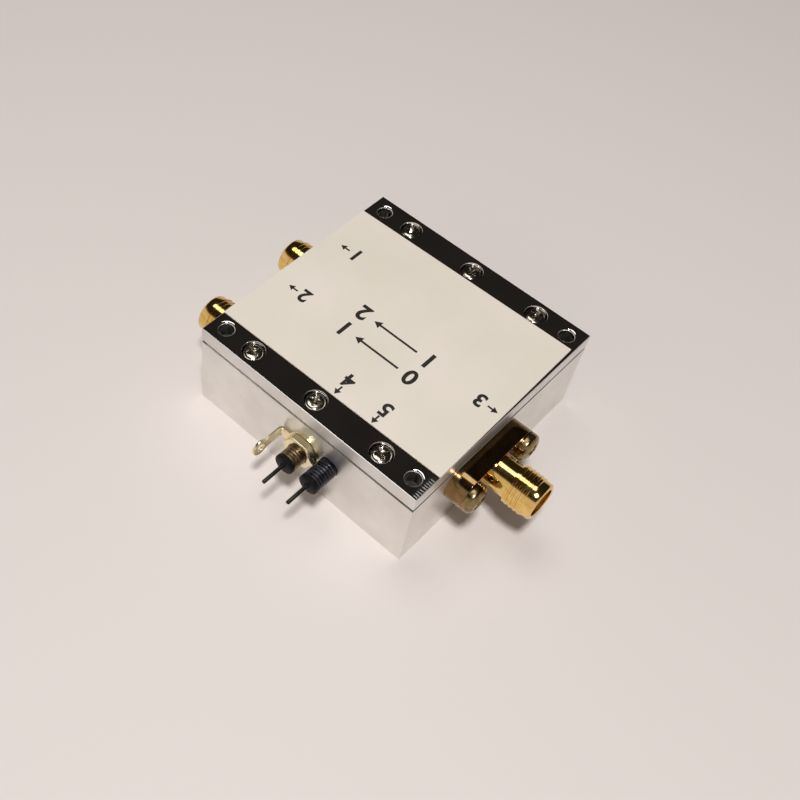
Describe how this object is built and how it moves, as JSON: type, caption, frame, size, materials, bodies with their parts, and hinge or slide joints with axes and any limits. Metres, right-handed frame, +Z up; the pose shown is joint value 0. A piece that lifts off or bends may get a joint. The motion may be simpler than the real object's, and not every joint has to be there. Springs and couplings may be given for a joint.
{
  "type": "rf switch module",
  "caption": "Machined aluminium box with a screwed lid, a flanged coaxial jack opposite two short jacks, and two wire feedthroughs with a ground lug.",
  "frame": {"origin": "middle of the housing's bottom face", "axes": "+Z up through the lid, +X out of the end with the common jack, -Y out of the side with the feedthroughs"},
  "size_m": [0.0558, 0.0485, 0.0161],
  "materials": {
    "milled_aluminium": "fine milled, lightly polished",
    "lid_aluminium": "fine milled, lightly polished",
    "label_film": "smooth satin film",
    "nickel_steel": "nickel plated",
    "gold_plate": "polished gold plate on brass",
    "contact_gold": "polished gold plate",
    "ptfe": "waxy white",
    "feed_brass": "dull plated",
    "feed_dark": "dark dull plate",
    "black_seal": "cast resin",
    "pin_metal": "tinned",
    "tinned_wire": "tinned",
    "board_green": "solder mask",
    "chip_black": "moulded",
    "capacitor_tan": "fired ceramic",
    "resistor_black": "fired ceramic",
    "ferrite_grey": "sintered ferrite"
  },
  "bodies": {
    "housing": {"housing_body": "milled_aluminium", "common_jack_body": "gold_plate", "common_jack_insulator": "ptfe", "common_jack_contact": "contact_gold", "common_jack_screws": "nickel_steel", "port_1_jack_body": "gold_plate", "port_1_jack_insulator": "ptfe", "port_1_jack_contact": "contact_gold", "port_2_jack_body": "gold_plate", "port_2_jack_insulator": "ptfe", "port_2_jack_contact": "contact_gold", "supply_feedthrough_body": "feed_brass", "supply_feedthrough_seal": "black_seal", "supply_feedthrough_pin": "pin_metal", "supply_feedthrough_nut": "gold_plate", "ground_lug": "gold_plate", "control_feedthrough_body": "feed_dark", "control_feedthrough_seal": "black_seal", "control_feedthrough_pin": "pin_metal", "supply_lead": "tinned_wire", "control_lead": "tinned_wire", "circuit_board": "board_green", "board_tracks": "contact_gold", "board_screws": "nickel_steel", "rf_switch_chip": "chip_black", "driver_chip": "chip_black", "voltage_regulator": "chip_black", "blocking_capacitors": "capacitor_tan", "bypass_capacitors": "capacitor_tan", "bias_resistors": "resistor_black", "supply_choke": "ferrite_grey"},
    "lid": {"lid": "lid_aluminium", "lid_label": "label_film", "lid_screws": "nickel_steel"}
  },
  "joints": [
    {"name": "lid_lift", "type": "slide", "parent": "housing", "child": "lid", "axis": [0, 0, 1], "range_m": [0, 0.03]}
  ]
}
